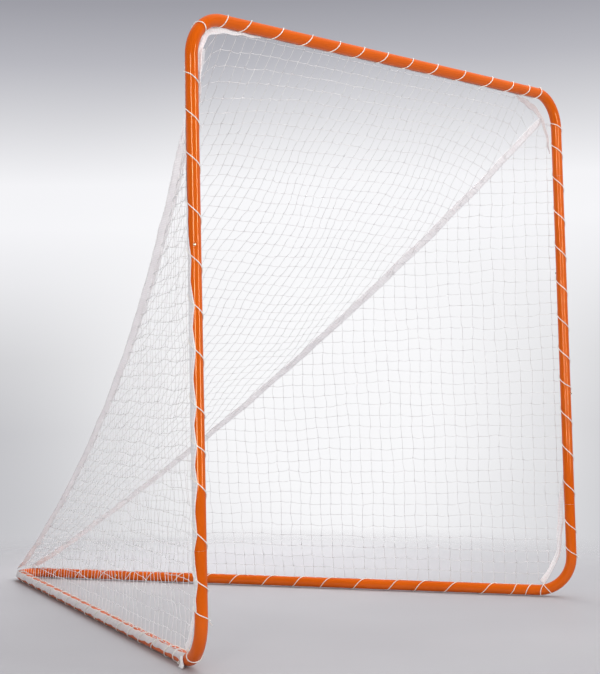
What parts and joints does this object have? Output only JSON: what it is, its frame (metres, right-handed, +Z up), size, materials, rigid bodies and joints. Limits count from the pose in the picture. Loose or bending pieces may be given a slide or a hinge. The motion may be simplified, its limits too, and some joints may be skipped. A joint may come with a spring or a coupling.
{
  "type": "lacrosse goal",
  "caption": "Free-standing field goal: round tube frame with a square mouth and V-shaped base, snap-together joints and a laced tent-shaped net.",
  "frame": {"origin": "centre of the goal's outer box, at floor level", "axes": "+Z up; +Y from the mouth back to the nose of the V-shaped base; +X across the mouth, to the right when looking in through it"},
  "size_m": [1.9211, 2.1404, 1.89],
  "materials": {
    "orange_powder_coat": "gloss",
    "galvanised_sleeve": "satin",
    "nickel_button": "polished",
    "spring_steel": "satin",
    "lacing_cord": "braided cord",
    "white_tape": "woven tape",
    "net_twine": "knotted twine"
  },
  "bodies": {
    "goal": {"back_net_panel": "net_twine", "bottom_corner_ties": "lacing_cord", "crossbar_hem_tape": "white_tape", "crossbar_lacing": "lacing_cord", "crossbar_lacing_knots": "lacing_cord", "crossbar_tube": "orange_powder_coat", "ground_lacing_knots": "lacing_cord", "left_back_joint_sleeve": "galvanised_sleeve", "left_back_leaf_spring": "spring_steel", "left_ground_hem_tape": "white_tape", "left_ground_lacing": "lacing_cord", "left_ground_tube": "orange_powder_coat", "left_lower_joint_sleeve": "galvanised_sleeve", "left_lower_leaf_spring": "spring_steel", "left_net_panel": "net_twine", "left_post_hem_tape": "white_tape", "left_post_lacing": "lacing_cord", "left_post_tube": "orange_powder_coat", "left_seam_tape": "white_tape", "left_upper_joint_sleeve": "galvanised_sleeve", "left_upper_leaf_spring": "spring_steel", "nose_tube": "orange_powder_coat", "post_lacing_knots": "lacing_cord", "right_back_joint_sleeve": "galvanised_sleeve", "right_back_leaf_spring": "spring_steel", "right_ground_hem_tape": "white_tape", "right_ground_lacing": "lacing_cord", "right_ground_tube": "orange_powder_coat", "right_lower_joint_sleeve": "galvanised_sleeve", "right_lower_leaf_spring": "spring_steel", "right_net_panel": "net_twine", "right_post_hem_tape": "white_tape", "right_post_lacing": "lacing_cord", "right_post_tube": "orange_powder_coat", "right_seam_tape": "white_tape", "right_upper_joint_sleeve": "galvanised_sleeve", "right_upper_leaf_spring": "spring_steel", "top_corner_tie": "lacing_cord"},
    "left_back_button": {"left_back_snap_button": "nickel_button"},
    "left_lower_button": {"left_lower_snap_button": "nickel_button"},
    "left_upper_button": {"left_upper_snap_button": "nickel_button"},
    "right_back_button": {"right_back_snap_button": "nickel_button"},
    "right_lower_button": {"right_lower_snap_button": "nickel_button"},
    "right_upper_button": {"right_upper_snap_button": "nickel_button"}
  },
  "joints": [
    {"name": "left_back_button_press", "type": "slide", "parent": "goal", "child": "left_back_button", "axis": [-0.9209, 0.3899, 0], "range_m": [0, 0.0044], "stiffness_N_per_m": 600, "springref_m": -0.003},
    {"name": "left_lower_button_press", "type": "slide", "parent": "goal", "child": "left_lower_button", "axis": [-0.342, -0.9397, 0], "range_m": [0, 0.0044], "stiffness_N_per_m": 600, "springref_m": -0.003},
    {"name": "left_upper_button_press", "type": "slide", "parent": "goal", "child": "left_upper_button", "axis": [0.682, 0.7314, 0], "range_m": [0, 0.0044], "stiffness_N_per_m": 600, "springref_m": -0.003},
    {"name": "right_back_button_press", "type": "slide", "parent": "goal", "child": "right_back_button", "axis": [0.9209, 0.3899, 0], "range_m": [0, 0.0044], "stiffness_N_per_m": 600, "springref_m": -0.003},
    {"name": "right_lower_button_press", "type": "slide", "parent": "goal", "child": "right_lower_button", "axis": [-0.5402, 0.8415, 0], "range_m": [0, 0.0044], "stiffness_N_per_m": 600, "springref_m": -0.003},
    {"name": "right_upper_button_press", "type": "slide", "parent": "goal", "child": "right_upper_button", "axis": [0.342, -0.9397, 0], "range_m": [0, 0.0044], "stiffness_N_per_m": 600, "springref_m": -0.003}
  ]
}
